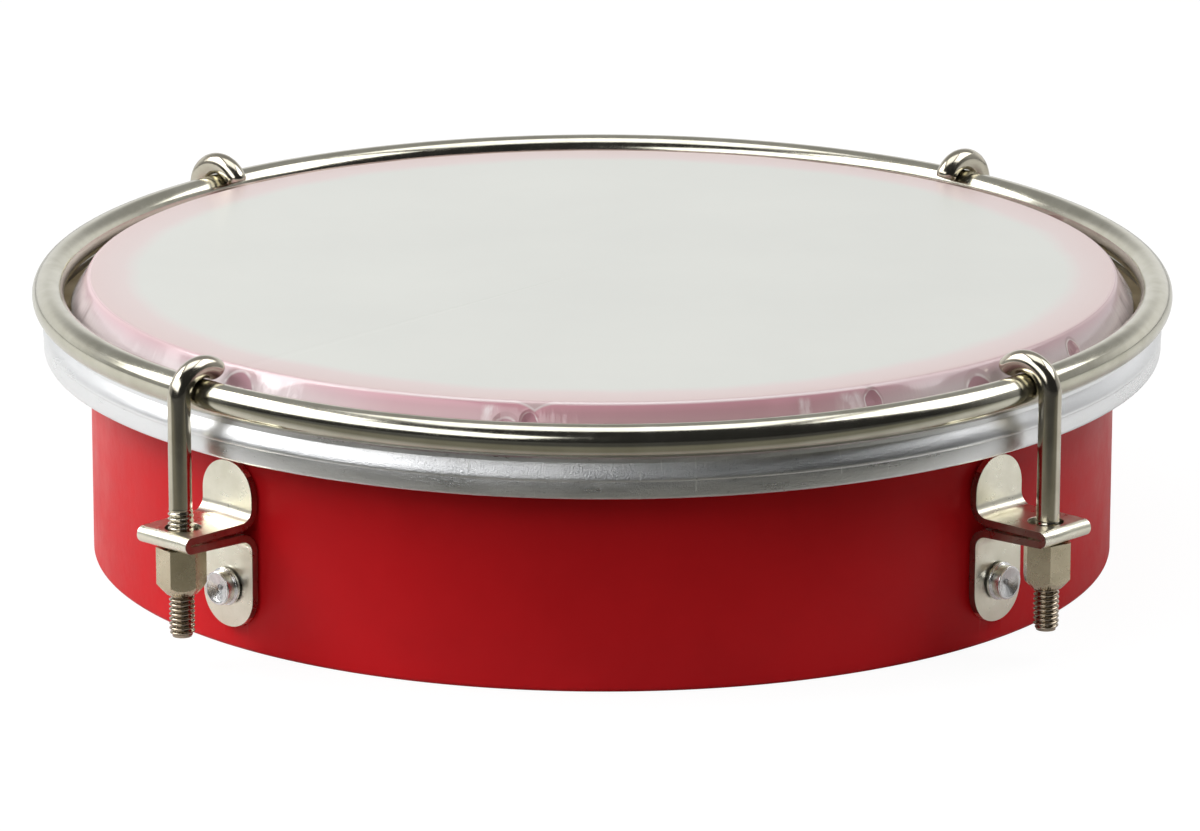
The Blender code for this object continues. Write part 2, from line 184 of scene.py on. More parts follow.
# Rivet, pin and washer
RIVET_SHANK_RADIUS = 0.0015
RIVET_FLANGE_RADIUS = 0.0028
RIVET_FLANGE_THICKNESS = 0.0006
RIVET_BOSS_RADIUS = 0.00245
RIVET_BOSS_HEIGHT = 0.0014
RIVET_DISH = 0.0007
RIVET_DISH_EDGE = 0.0002
RIVET_THROAT = 0.0005
RIVET_BULB_RADIUS = 0.0023
RIVET_BULB_LENGTH = 0.0026
RIVET_FLANGE_ROUND_SHARE = 0.45
RIVET_ROUND = 0.0002
RIVET_BREAK = 0.0001
RIVET_FILLET = 0.00012
PIN_RADIUS = 0.00065
PIN_RECESS = 0.0009
PIN_HEAD_RADIUS = 0.0015
PIN_HEAD_LENGTH = 0.0012
PIN_HEAD_BREAK = 0.0001
WASHER_RADIUS = 0.0040
WASHER_THICKNESS = 0.0008
WASHER_ROUND = 0.0002

# The pin's torn neck: distance from its axis and rise, as shares of its radius
TORN_NECK = ((0, 0.5), (0.35, 0.45), (0.55, 0.2), (0.85, 0.15), (1.0, 0.0))

# Fineness
RING_STEPS = 288
FILM_STEPS = 900
SMALL_STEPS = 48
ARC_STEPS = 8
THREAD_SIDES = 28
THREAD_STEPS_PER_TURN = 9
SHARP_ANGLE = radians(34)
ROUNDED_ANGLE = radians(30)
TOUCHING = 1e-6
MERGING = 1e-7

# Camera, fitted to the rings, the film's edge and the shell's base in the photograph
CAMERA_DISTANCE = 1.05073
CAMERA_ELEVATION = 0.2684
CAMERA_AIM = (-0.00031, 0.0, 0.01936)
CAMERA_ROLL = 0.00155
CAMERA_LENS = 210.53
SENSOR_WIDTH = 36.0

# Floor: its tones as light bounces off it, from in front of the drum (Y) back, and how white it
# is seen. The dark front bands are painted shade that only rays other than the camera's see, so
# that shiny parts mirror a dark room in front of the drum.
FLOOR_REACH = 12.0
FLOOR_TONE = (0.64, 0.64, 0.63)
FLOOR_SHADE_BANDS = (
    (-0.170, (0.030, 0.030, 0.028)),
    (-0.135, (0.150, 0.145, 0.115)),
    (-0.100, (0.150, 0.145, 0.115)),
    (-0.070, FLOOR_TONE),
)
FLOOR_PALENESS = 0.85
FLOOR_WHITE = 1.10

# Studio: soft fill, what enters the drum from below, then what shiny surfaces mirror of the room in
# front, above and low behind
ROOM_FILL = 0.13
ROOM_BELOW = 0.40
ROOM_IN_FRONT = 0.025
ROOM_ABOVE = 0.36
BACKDROP_WHITE = 0.9

# Where those levels change, as the Y or Z of a direction into the room
ROOM_FRONT_TO_BACK = (-0.35, 0.15)
ROOM_BELOW_TO_FILL = (-0.30, -0.10)
BACKDROP_SIDES = (0.30, 0.70)
BACKDROP_TOP = (0.25, 0.50)

# Softboxes: name, azimuth, elevation, distance, width, height and power
LAMPS = (
    ("panel_left", -63, 34, 1.15, 2.3, 0.55, 9.9),
    ("key_left", -96, 45, 1.40, 1.0, 0.7, 12.0),
    ("fill_right", 99, 47, 1.15, 0.9, 0.7, 5.8),
    ("top", 180, 87, 1.1, 0.8, 0.7, 3.3),
)
LAMP_AIM_HEIGHT = 0.02


@functools.cache
def box(node):
    """A CAD node's lowest and highest corner."""
    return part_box(node)


def middle(node):
    """The middle of a CAD node's box."""
    low, high = box(node)
    return (low + high) / 2


def unit(angle):
    """The direction out of the drum at this angle."""
    return Vector((sin(angle), -cos(angle), 0))


def smooth_step(share):
    share = min(max(share, 0.0), 1.0)
    return share * share * (3 - 2 * share)


def arc(centre, radius, start, end, steps=ARC_STEPS):
    """Points of an arc in a plane, from one angle to another, both ends included."""
    turns = (start + (end - start) * i / steps for i in range(steps + 1))
    return [
        (centre[0] + radius * cos(a), centre[1] + radius * sin(a)) for a in turns
    ]


def rounded(outline, radius, steps=3):
    """A closed outline with each of its corners rounded, as far as its sides allow."""
    made = []
    count = len(outline)
    for i, corner in enumerate(outline):
        here = Vector(corner)
        before = Vector(outline[i - 1]) - here
        after = Vector(outline[(i + 1) % count]) - here
        reach = min(radius, before.length * 0.45, after.length * 0.45)
        start = here + before.normalized() * reach
        end = here + after.normalized() * reach
        for step in range(steps + 1):
            share = step / steps
            near = start.lerp(here, share)
            far = here.lerp(end, share)
            made.append(tuple(near.lerp(far, share)))
    return made


def placed(name, data):
    """A new object in the scene."""
    made = bpy.data.objects.new(name, data)
    bpy.context.scene.collection.objects.link(made)
    return made


def finished(name, mesh, look):
    """The mesh as an object, facing out and shaded smooth where it is round."""
    bm = bmesh.new()
    bm.from_mesh(mesh)
    bmesh.ops.remove_doubles(bm, verts=bm.verts, dist=MERGING)
    bmesh.ops.recalc_face_normals(bm, faces=bm.faces)
    bm.to_mesh(mesh)
    bm.free()
    mesh.shade_smooth()
    mesh.set_sharp_from_angle(angle=SHARP_ANGLE)
    if look:
        mesh.materials.append(look)
    return placed(name, mesh)


def lofted(name, rows, look, closed_along):
    """Skins rows of points, each a closed loop. The rows close on themselves or get end caps."""
    width = len(rows[0])
    points = [tuple(p) for row in rows for p in row]
    last = len(rows) if closed_along else len(rows) - 1
    faces = []
    for i in range(last):
        here = i * width
        there = (i + 1) % len(rows) * width
        for j in range(width):
            k = (j + 1) % width
            faces.append((here + j, here + k, there + k, there + j))
    if not closed_along:
        faces.append(tuple(range(width))[::-1])
        faces.append(tuple(range(len(points) - width, len(points))))
    mesh = bpy.data.meshes.new(name)
    mesh.from_pydata(points, [], faces)
    return finished(name, mesh, look)


def turned(name, outline, look, steps, axis="Z"):
    """A closed (radius, distance) outline turned once round the Z or X axis."""
    rows = []
    for i in range(steps):
        turn = 2 * pi * i / steps
        c, s = cos(turn), sin(turn)
        if axis == "Z":
            rows.append([(r * c, r * s, d) for r, d in outline])
        else:
            rows.append([(d, r * c, r * s) for r, d in outline])
    return lofted(name, rows, look, True)


def reshaped(made, tools=(), bevel=None):
    """Cuts with (operation, tool) pairs, rounds the sharp edges, and makes the result the mesh."""
    for operation, tool in tools:
        boolean = made.modifiers.new(tool.name, "BOOLEAN")
        boolean.operation = operation
        boolean.solver = "EXACT"
        boolean.object = tool
    if bevel:
        rounding = made.modifiers.new("rounding", "BEVEL")
        rounding.width = bevel
        rounding.segments = 2
        rounding.limit_method = "ANGLE"
        rounding.angle_limit = ROUNDED_ANGLE
        flats = made.modifiers.new("flats", "WEIGHTED_NORMAL")
        flats.keep_sharp = True
    graph = bpy.context.evaluated_depsgraph_get()
    mesh = bpy.data.meshes.new_from_object(made.evaluated_get(graph))
    old = made.data
    made.modifiers.clear()
    made.data = mesh
    bpy.data.meshes.remove(old)
    return made


def discard(*objects):
    for made in objects:
        bpy.data.objects.remove(made, do_unlink=True)


def settle(made, body, slot, *nodes):
    """The piece rides on its body and stands for its CAD nodes. The slot is not used."""
    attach(made, body)
    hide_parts(*nodes)
    return made


class Nodes:
    """A node tree and short calls that add to it."""

    def __init__(self, tree):
        self.tree = tree

    def set(self, node, socket, value):
        target = node.inputs[socket]
        if isinstance(value, bpy.types.NodeSocket):
            self.tree.links.new(value, target)
        elif target.type == "RGBA" and len(value) == 3:
            target.default_value = (*value, 1.0)
        else:
            target.default_value = value

    def add(self, kind, inputs=None, **settings):
        node = self.tree.nodes.new("ShaderNode" + kind)
        for key, value in settings.items():
            setattr(node, key, value)
        for socket, value in (inputs or {}).items():
            self.set(node, socket, value)
        return node

    def math(self, operation, first, second=0.0, third=0.0):
        node = self.add("Math", {0: first, 1: second, 2: third}, operation=operation)
        return node.outputs[0]

    def times(self, first, second):
        return self.math("MULTIPLY", first, second)

    def span(self, value, low, high, to_low=0.0, to_high=1.0, kind="LINEAR"):
        inputs = {"Value": value, "From Min": low, "From Max": high}
        inputs |= {"To Min": to_low, "To Max": to_high}
        return self.add("MapRange", inputs, interpolation_type=kind).outputs["Result"]

    def between(self, factor, first, second):
        """A number between two others."""
        return self.add("Mix", {0: factor, 2: first, 3: second}).outputs[0]

    def ramp(self, factor, *stops):
        node = self.add("ValToRGB", {"Fac": factor})
        elements = node.color_ramp.elements
        while len(elements) < len(stops):
            elements.new(0.5)
        for element, (position, colour) in zip(elements, stops):
            element.position = position
            element.color = (*colour, 1.0)
        return node.outputs["Color"]

    def mix(self, factor, first, second):
        """A colour between two others."""
        node = self.add("Mix", data_type="RGBA")
        for index, value in ((0, factor), (6, first), (7, second)):
            self.set(node, index, value)
        return node.outputs[2]


class Look(Nodes):
    """A node material: its places on the drum, its patterns and its marks."""

    def __init__(self, name, **sockets):
        self.material = bpy.data.materials.new(name)
        self.material.use_nodes = True
        super().__init__(self.material.node_tree)
        self.shader = self.tree.nodes["Principled BSDF"]
        for socket, value in sockets.items():
            self.set(self.shader, socket.replace("_", " "), value)

    def finish(self, colour, roughness, normal):
        self.set(self.shader, "Base Color", colour)
        self.set(self.shader, "Roughness", roughness)
        self.set(self.shader, "Normal", normal)
        return self.material

    def place(self):
        return self.add("TexCoord").outputs["Object"]

    def noise(self, scale, detail=3.0, roughness=0.55, place=None, distortion=0.0):
        inputs = {
            "Vector": place or self.place(),
            "Scale": scale,
            "Detail": detail,
            "Roughness": roughness,
            "Distortion": distortion,
        }
        return self.add("TexNoise", inputs).outputs["Fac"]

    def streaks(self, place, stretch, detail, roughness=0.5, distortion=0.0):
        """Noise that is squeezed differently along each axis of the place."""
        squeezed = self.add("Mapping", {"Vector": place, "Scale": stretch}).outputs["Vector"]
        return self.noise(1.0, detail, roughness, squeezed, distortion)

    def parts(self):
        return self.add("SeparateXYZ", {"Vector": self.place()}).outputs

    def radius(self):
        parts = self.parts()
        square = self.math("POWER", parts["Y"], 2.0)
        return self.math("SQRT", self.math("MULTIPLY_ADD", parts["X"], parts["X"], square))

    def joined(self, x, y, z):
        return self.add("CombineXYZ", {"X": x, "Y": y, "Z": z}).outputs["Vector"]

    def around(self):
        """Object coordinates as (way round, radius, height), in metres."""
        parts = self.parts()
        angle = self.math("ARCTAN2", parts["X"], self.times(parts["Y"], -1.0))
        way = self.times(angle, shell_radius())
        return self.joined(way, self.radius(), parts["Z"])

    def hooped(self):
        """Object coordinates whose third one crosses lines that run round the drum."""
        parts = self.parts()
        across = self.math("ADD", self.radius(), parts["Z"])
        return self.joined(parts["X"], parts["Y"], across)

    def beside(self, way, angle):
        """How far from this angle, along the shell."""
        away = self.math("SUBTRACT", way, radians(angle) * shell_radius())
        return self.math("ABSOLUTE", away)

    def lobes(self, way, drop):
        """How far from the middle of the nearest creased lobe: 1 on its outline."""
        nearest = 9.0
        for angle, half_width, start in LOBES:
            across = self.math("DIVIDE", self.beside(way, angle), half_width)
            down = self.math("MINIMUM", self.math("SUBTRACT", drop, start + half_width), 0.0)
            down = self.math("DIVIDE", down, half_width)
            square = self.math("MULTIPLY_ADD", across, across, self.math("POWER", down, 2.0))
            nearest = self.math("MINIMUM", nearest, self.math("SQRT", square))
        return nearest

    def dents(self, way):
        """How far the painted highlight line on the bearing edge dips, as a share of the collar."""
        dip = 0.0
        for angle, half_width, depth in EDGE_DENTS:
            near = self.span(self.beside(way, angle), half_width, 0.0)
            dip = self.math("MULTIPLY_ADD", self.math("POWER", near, 2.0), depth, dip)
        return dip

    def upright_marks(self, way, places):
        """Upright marks at these places: 1 in the mark and 0 elsewhere."""
        deepest = 0.0
        for angle, half_width in places:
            near = self.span(self.beside(way, angle), half_width, half_width / 2)
            deepest = self.math("MAXIMUM", deepest, near)
        return deepest

    def from_front(self, way, start, end, low=0.0, high=1.0):
        """A span over the angle from the front, the same on both sides."""
        reach = self.math("ABSOLUTE", way)
        first, last = (radians(angle) * shell_radius() for angle in (start, end))
        return self.span(reach, first, last, low, high)

    def bump(self, height, distance, strength=1.0, normal=None):
        node = self.add("Bump", {"Height": height, "Distance": distance, "Strength": strength})
        if normal is not None:
            self.set(node, "Normal", normal)
        return node.outputs["Normal"]


def shell_radius():
    return box("shell")[1].x


def shell_top():
    return box("shell")[1].z


def red_lacquer():
    """Satin sprayed lacquer with a faint orange peel and fine handling marks."""
    look = Look("red_lacquer", IOR=1.5, Specular_IOR_Level=0.14)
    around = look.around()
    cloud = look.noise(38.0, 4.0)
    colour = look.ramp(cloud, (0.30, (0.565, 0.0080, 0.0125)), (0.70, (0.66, 0.0105, 0.0155)))
    marks = look.streaks(around, (260.0, 260.0, 2600.0), 5.0, 0.7)
    scuffs = look.span(marks, 0.66, 0.80)
    colour = look.mix(look.times(scuffs, 0.10), colour, (0.78, 0.16, 0.16))
    # Darker towards the foot, over the lowest 1.2 mm, broken by noise.
    foot = look.span(look.parts()["Z"], 0.0, 0.0012, 0.35, 0.0)
    patchy = look.times(foot, look.span(look.noise(900.0, 4.0), 0.45, 0.62))
    colour = look.mix(patchy, colour, (0.30, 0.012, 0.014))
    peel = look.noise(620.0, 2.0)
    fine = look.noise(5200.0, 2.0)
    roughness = look.span(look.noise(150.0, 5.0, 0.65), 0.30, 0.72, 0.30, 0.42)
    normal = look.bump(fine, 0.000006, 1.0, look.bump(peel, 0.000030))
    return look.finish(colour, roughness, normal)


def milky_film():
    """Milky polyester: grey-white over the open drum, pink where the red shell shines through."""
    look = Look("milky_film", IOR=1.6)
    edge = shell_radius()
    uneven = look.span(look.noise(55.0, 3.0), 0.3, 0.7, -0.0007, 0.0007)
    reach = look.math("ADD", look.radius(), uneven)
    band_start = edge - PINK_BAND_WIDTH
    band = look.span(reach, band_start - PINK_BAND_SOFTNESS, band_start + PINK_BAND_SOFTNESS)
    cloud = look.noise(30.0, 4.0, 0.6)
    face = look.ramp(cloud, (0.3, (0.535, 0.543, 0.510)), (0.7, (0.56, 0.568, 0.532)))
    deeper = look.span(reach, band_start, edge)
    rim = look.ramp(deeper, (0.0, (0.575, 0.495, 0.482)), (1.0, (0.565, 0.445, 0.432)))
    colour = look.mix(band, face, rim)
    collar = look.add("Attribute", attribute_name="collar").outputs["Fac"]
    around = look.around()
    way = look.add("SeparateXYZ", {"Vector": around}).outputs["X"]
    below_edge = look.math("SUBTRACT", collar, look.dents(way))
    # The pale stop at 0.035 is a painted highlight line along the bearing edge.
    side = look.ramp(
        below_edge,
        (0.0, (0.57, 0.43, 0.44)),
        (0.035, (0.72, 0.64, 0.64)),
        (0.085, (0.60, 0.31, 0.36)),
        (0.22, (0.53, 0.30, 0.335)),
        (0.50, (0.53, 0.355, 0.375)),
        (1.0, (0.38, 0.30, 0.30)),
    )
    # From 22 degrees off the front outwards the collar is painted paler: a painted reflection of
    # the light from the sides.
    flank = look.ramp(
        below_edge,
        (0.0, (0.57, 0.43, 0.44)),
        (0.035, (0.60, 0.42, 0.44)),
        (0.12, (0.60, 0.44, 0.47)),
        (0.35, (0.60, 0.52, 0.535)),
        (1.0, (0.48, 0.43, 0.43)),
    )
    side = look.mix(look.from_front(way, 22.0, 37.0, 0.0, 0.9), side, flank)
    # Painted glints on the collar's folds, broken by creased noise.
    fold_glints = look.times(look.upright_marks(way, FOLD_GLINTS), look.span(collar, 0.08, 0.2))
    creased = look.streaks(around, (620.0, 1.0, 260.0), 3.0, 0.6, 0.8)
    fold_glints = look.times(fold_glints, look.span(creased, 0.40, 0.60, 0.15, 0.85))
    side = look.mix(fold_glints, side, (0.78, 0.68, 0.70))
    colour = look.mix(look.span(collar, 0.0, 0.012), colour, side)
    drop = look.times(collar, collar_drop())
    wave = look.span(look.noise(420.0, 2.0), 0.25, 0.75, -0.0002, 0.0002)
    lobe = look.lobes(look.math("ADD", way, wave), drop)
    # Darker mauve inside each creased lobe: painted shade in the lobe's dent.
    inside = look.span(lobe, 1.0, 0.92, 0.0, 0.72)
    colour = look.mix(inside, colour, (0.42, 0.20, 0.25))
    # A pale line round each lobe's outline: painted highlight along the crease.
    crease = look.math("ABSOLUTE", look.math("SUBTRACT", lobe, 1.0))
    crease_highlight = look.times(look.span(crease, 0.08, 0.02), look.span(collar, 0.05, 0.09))
    broken = look.span(look.noise(420.0, 1.0), 0.42, 0.60, 0.05, 0.80)
    crease_highlight = look.times(crease_highlight, broken)
    colour = look.mix(crease_highlight, colour, (0.86, 0.80, 0.81))
    ribs = look.streaks(around, (1100.0, 1.0, 60.0), 2.0, 0.5)
    grain = look.noise(2400.0, 3.0)
    rib_depth = look.times(ribs, look.span(collar, 0.08, 0.25))
    normal = look.bump(rib_depth, 0.00005, 1.0, look.bump(grain, 0.000006))
    normal = look.bump(look.math("MINIMUM", lobe, 1.25), 0.00045, 1.0, normal)
    roughness = look.span(collar, 0.0, 0.08, 0.30, 0.12)
    return look.finish(colour, roughness, normal)


def plated(name, dark, light, gloss, dull, turned_lines=False, darker_below=None):
    """Nickel plate: a warm grey metal with fine polishing lines, a faint bloom, and, when asked,
    darker towards the bottom.
    """
    look = Look(name, Metallic=1.0)
    place = look.hooped() if turned_lines else look.place()
    bloom = look.noise(190.0, 4.0, 0.6)
    colour = look.ramp(bloom, (0.32, dark), (0.68, light))
    lines = look.streaks(place, (120.0, 120.0, 5200.0), 4.0, 0.7)
    specks = look.span(look.noise(2600.0, 3.0, 0.7), 0.68, 0.80)
    shade = tuple(c * 0.6 for c in dark)
    colour = look.mix(look.times(specks, 0.35), colour, shade)
    if darker_below is not None:
        # Darker brown towards the bottom, below the given height.
        height = look.parts()["Z"]
        darkening = look.span(height, darker_below, darker_below - 0.004, 0.0, 0.7)
        colour = look.mix(darkening, colour, (0.33, 0.26, 0.19))
    rough = look.span(look.noise(420.0, 5.0, 0.7), 0.30, 0.72, gloss, dull)
    rough = look.math("MULTIPLY_ADD", specks, 0.12, rough)
    normal = look.bump(lines, 0.000002, 1.0, look.bump(look.noise(700.0, 2.0), 0.0000015))
    return look.finish(colour, rough, normal)


def strip_nickel():
    """Satin nickel on pressed strip: soft waves in the faces, and the cut edges painted dark as a
    painted reflection.
    """
    look = Look("bracket_nickel", Metallic=1.0)
    bloom = look.noise(260.0, 4.0, 0.6)
    colour = look.ramp(bloom, (0.32, (0.84, 0.81, 0.67)), (0.68, (0.95, 0.92, 0.79)))
    specks = look.span(look.noise(2200.0, 3.0, 0.7), 0.68, 0.80)
    colour = look.mix(look.times(specks, 0.18), colour, (0.40, 0.36, 0.27))
    # The cut edges get a dark colour: a painted reflection of the dark room in front and the red
    # shell.
    cut = look.add("Attribute", attribute_name="cut").outputs["Fac"]
    edges = look.ramp(bloom, (0.3, (0.26, 0.24, 0.20)), (0.7, (0.40, 0.38, 0.32)))
    colour = look.mix(cut, colour, edges)
    rough = look.span(look.noise(420.0, 5.0, 0.7), 0.30, 0.72, 0.24, 0.38)
    waves = look.bump(look.noise(150.0, 0.0), 0.0005)
    grain = look.streaks(look.place(), (900.0, 900.0, 4200.0), 4.0, 0.7)
    normal = look.bump(grain, 0.000004, 1.0, waves)
    return look.finish(colour, rough, normal)


def scratched_aluminium():
    """Rolled aluminium channel, satin, with long lines, scuffs, a few short nicks, and painted
    sheen towards the sides.
    """
    look = Look("scratched_aluminium", Metallic=1.0)
    around = look.around()
    cloud = look.streaks(look.hooped(), (70.0, 70.0, 420.0), 5.0, 0.65)
    colour = look.ramp(cloud, (0.28, (0.60, 0.61, 0.63)), (0.72, (0.93, 0.94, 0.95)))
    rolled = look.streaks(look.hooped(), (45.0, 45.0, 5200.0), 5.0, 0.75)
    scuffs = look.streaks(around, (900.0, 1500.0, 2400.0), 6.0, 0.75, 1.2)
    chips = look.streaks(around, (2600.0, 400.0, 330.0), 2.0, 0.5)
    chips = look.span(chips, 0.70, 0.76)
    way = look.add("SeparateXYZ", {"Vector": around}).outputs["X"]
    patchy = look.span(look.noise(700.0, 2.0), 0.47, 0.56)
    nicked = look.math("MAXIMUM", chips, look.times(look.upright_marks(way, NICKS), patchy))
    # 1 on the front, where the scuffs and pits are, falling to 0.2 on the sides, which are painted
    # paler: painted sheen from the side lamps.
    front_wear_and_side_sheen = look.from_front(way, 15.0, 38.0, 1.0, 0.2)
    colour = look.mix(look.math("SUBTRACT", 1.0, front_wear_and_side_sheen), colour, (0.95, 0.96, 0.97))
    scuffed = look.times(look.span(scuffs, 0.58, 0.70), front_wear_and_side_sheen)
    colour = look.mix(look.times(scuffed, 0.55), colour, (0.26, 0.27, 0.29))
    colour = look.mix(look.times(nicked, 0.9), colour, (0.97, 0.98, 0.98))
    rough = look.span(cloud, 0.30, 0.70, 0.25, 0.37)
    rough = look.math("MULTIPLY_ADD", scuffed, 0.12, rough)
    rough = look.math("MULTIPLY_ADD", nicked, 0.30, rough)
    pits = look.noise(3800.0, 3.0, 0.65)
    normal = look.bump(pits, 0.000095, front_wear_and_side_sheen, look.bump(rolled, 0.000018))
    normal = look.bump(scuffs, 0.000060, look.times(front_wear_and_side_sheen, 0.8), normal)
    normal = look.bump(nicked, 0.000030, -0.8, normal)
    return look.finish(colour, rough, normal)


def bright_aluminium():
    """Drawn rivet metal: bright, with fine turned lines and pressed scratches."""
    look = Look("bright_aluminium", Metallic=1.0)
    patches = look.noise(1500.0, 4.0, 0.7)
    colour = look.ramp(patches, (0.30, (0.70, 0.70, 0.70)), (0.62, (0.90, 0.90, 0.90)))
    scratches = look.streaks(look.place(), (3200.0, 3200.0, 9000.0), 5.0, 0.8)
    rough = look.span(patches, 0.3, 0.7, 0.28, 0.14)
    normal = look.bump(scratches, 0.000012, 1.0, look.bump(patches, 0.000040))
    return look.finish(colour, rough, normal)


def lock_resin():
    """Cast amber resin with a matt skin and small bubbles."""
    look = Look("lock_resin", IOR=1.5)
    cloud = look.noise(240.0, 4.0)
    colour = look.ramp(cloud, (0.3, (0.46, 0.36, 0.20)), (0.7, (0.66, 0.56, 0.38)))
    bubbles = look.span(look.noise(2600.0, 2.0), 0.64, 0.72)
    rough = look.span(cloud, 0.3, 0.7, 0.36, 0.52)
    normal = look.bump(bubbles, 0.00005, -1.0)
    return look.finish(colour, rough, normal)


def pin_steel():
    """Broken mandrel steel, dark and grainy."""
    look = Look("pin_steel", Metallic=1.0)
    grain = look.noise(5200.0, 4.0, 0.7)
    colour = look.ramp(grain, (0.32, (0.24, 0.24, 0.25)), (0.68, (0.52, 0.52, 0.53)))
    rough = look.span(grain, 0.3, 0.7, 0.55, 0.32)
    return look.finish(colour, rough, look.bump(grain, 0.00006))


def zinc_plate():
    """Blue-white zinc on a stamped washer, with faint spangle."""
    look = Look("zinc_plate", Metallic=1.0)
    cells = look.add("TexVoronoi", {"Vector": look.place(), "Scale": 1400.0}).outputs["Color"]
    value = look.add("RGBToBW", {"Color": cells}).outputs["Val"]
    colour = look.ramp(value, (0.1, (0.44, 0.46, 0.50)), (0.9, (0.62, 0.65, 0.69)))
    rough = look.span(value, 0.0, 1.0, 0.28, 0.42)
    normal = look.bump(look.noise(1800.0, 4.0), 0.000015)
    return look.finish(colour, rough, normal)


def station_axis(side):
    """(angle, radius) of the bolt's axis, from its nut."""
    place = middle("tuning_nut_" + side)
    return atan2(place.x, -place.y), hypot(place.x, place.y)


def turn_to(made, side):
    """Turns a mesh made with +X out of the drum to its station."""
    angle, _ = station_axis(side)
    made.data.transform(Matrix.Rotation(angle - pi / 2, 4, "Z"))
    return made


def tilt(made):
    """Tilts a ring made level round the Z axis, about the height where the rod's middle lies."""
    centre = Matrix.Translation((0, 0, rod_level()))
    made.data.transform(centre @ Matrix.Rotation(TILT, 4, "X") @ centre.inverted())
    return made


def rod_level():
    return middle("tension_hoop").z


def channel_top():
    return rod_level() - ROD_RADIUS - SEAT_GAP


def channel_outer():
    return box("flesh_hoop")[1].x


def film_outer():
    return box("drumhead_film")[1].x


def channel_inner():
    return film_outer() - FILM_THICKNESS - SEAT_GAP - CHANNEL_WALL


def rod_ring_radius():
    return box("tension_hoop")[1].x - ROD_RADIUS


def drill(name, radius, length, place, axis):
    """A cylinder to cut with, along the Z or X axis."""
    half = length / 2
    outline = [(0, -half), (radius, -half), (radius, half), (0, half)]
    made = turned(name, outline, None, SMALL_STEPS, axis)
    made.data.transform(Matrix.Translation(place))
    return made


def rivet_height(side):
    return middle("rivet_" + side).z


def rivet_drill(side, length):
    place = (shell_radius(), 0, rivet_height(side))
    return drill("rivet_hole", RIVET_SHANK_RADIUS + SEAT_GAP, length, place, "X")


def shell_wall(look):
    """The red tube, with its bearing edge, its broken lower edges and the four rivet holes."""
    outer, top = shell_radius(), shell_top()
    inner = outer - SHELL_WALL
    outline = arc((outer - BEARING_ROUND, top - BEARING_ROUND), BEARING_ROUND, QUARTER, 0)
    outline += arc((outer - BASE_ROUND, BASE_ROUND), BASE_ROUND, 0, -QUARTER)
    outline += arc((inner + INNER_BREAK, INNER_BREAK), INNER_BREAK, -QUARTER, -2 * QUARTER, 4)
    outline += arc((inner + INNER_BREAK, top - INNER_BREAK), INNER_BREAK, 2 * QUARTER, QUARTER, 4)
    made = turned("shell_wall", outline, look, RING_STEPS)
    drills = [turn_to(rivet_drill(side, 4 * SHELL_WALL), side) for side in STATIONS]
    reshaped(made, [("DIFFERENCE", hole) for hole in drills])
    discard(*drills)
    return settle(made, "drum_body", "shell", "shell")


def all_puckers():
    """The puckers seen in the photograph, and made-up ones round the rest of the drum."""
    chance = random.Random(PUCKER_SEED)
    made = list(PUCKERS)
    first, last = BEHIND_SPAN
    for i in range(PUCKERS_BEHIND):
        angle = first + (last - first) * (i + chance.uniform(0.1, 0.9)) / PUCKERS_BEHIND
        width = chance.uniform(*BEHIND_WIDTHS)
        made.append((angle, width, chance.uniform(*BEHIND_DEPTHS)))
    return made


def pucker_at(angle, puckers, radius):
    """How far the collar stands out at this angle."""
    stand = 0.0
    for place, width, depth in puckers:
        away = (degrees(angle) - place + 180) % 360 - 180
        distance = abs(radians(away)) * radius / width
        if distance < PUCKER_REACH:
            stand += depth * exp(-((distance * PUCKER_FLATNESS) ** 4))
    return stand


def collar_drop():
    """From the head's face down to the channel."""
    return box("drumhead_film")[1].z - channel_top()


def film_section(offset, stand):
    """(radius, height, collar share) points of one side of the film, from the middle outwards."""
    centre = (shell_radius() - FILM_ROUND, shell_top() - FILM_ROUND)
    radius = FILM_ROUND + offset
    tuck = channel_inner() + CHANNEL_WALL + offset
    top = centre[1] + radius
    section = [(r, top, 0.0) for r in FACE_RADII]
    for r, z in arc(centre, radius, pi / 2, COLLAR_SLOPE):
        section.append((r, z, (top - z) / collar_drop()))
    start_radius, start_height, _ = section[-1]
    fall = (tuck - start_radius) / tan(COLLAR_SLOPE)
    for i in range(1, COLLAR_STEPS + 1):
        share = i / COLLAR_STEPS
        swell = stand * sin(pi * share) ** COLLAR_SWELL_POWER
        r = start_radius + (tuck - start_radius) * share + swell * cos(COLLAR_SLOPE)
        z = start_height - fall * share + swell * sin(COLLAR_SLOPE)
        section.append((r, z, (top - z) / collar_drop()))
    section.append((tuck, channel_top() - FILM_TUCK, 1.0))
    return section


def drumhead_skin(look):
    """The skin: flat face, bearing edge, puckered collar, and an edge tucked into the channel."""
    puckers = all_puckers()
    rows = []
    shares = {}
    for i in range(FILM_STEPS):
        angle = 2 * pi * i / FILM_STEPS
        stand = pucker_at(angle, puckers, shell_radius())
        over = film_section(FILM_SEAT + FILM_THICKNESS, stand)
        under = film_section(FILM_SEAT, stand)
        out = unit(angle)
        row = []
        for r, z, share in over + under[::-1]:
            drop = smooth_step(share / 0.9)
            point = out * r
            point.z = z + drop * point.y * sin(TILT)
            row.append(point)
            shares[rounded_off(point)] = min(max(share, 0), 1)
        rows.append(row)
    made = lofted("drumhead_skin", rows, look, True)
    values = made.data.attributes.new("collar", "FLOAT", "POINT").data
    for vertex, value in zip(made.data.vertices, values):
        value.value = shares.get(rounded_off(vertex.co), 0.0)
    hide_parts("drumhead_film")
    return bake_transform(made)


def rounded_off(point):
    return tuple(round(c, 6) for c in point)


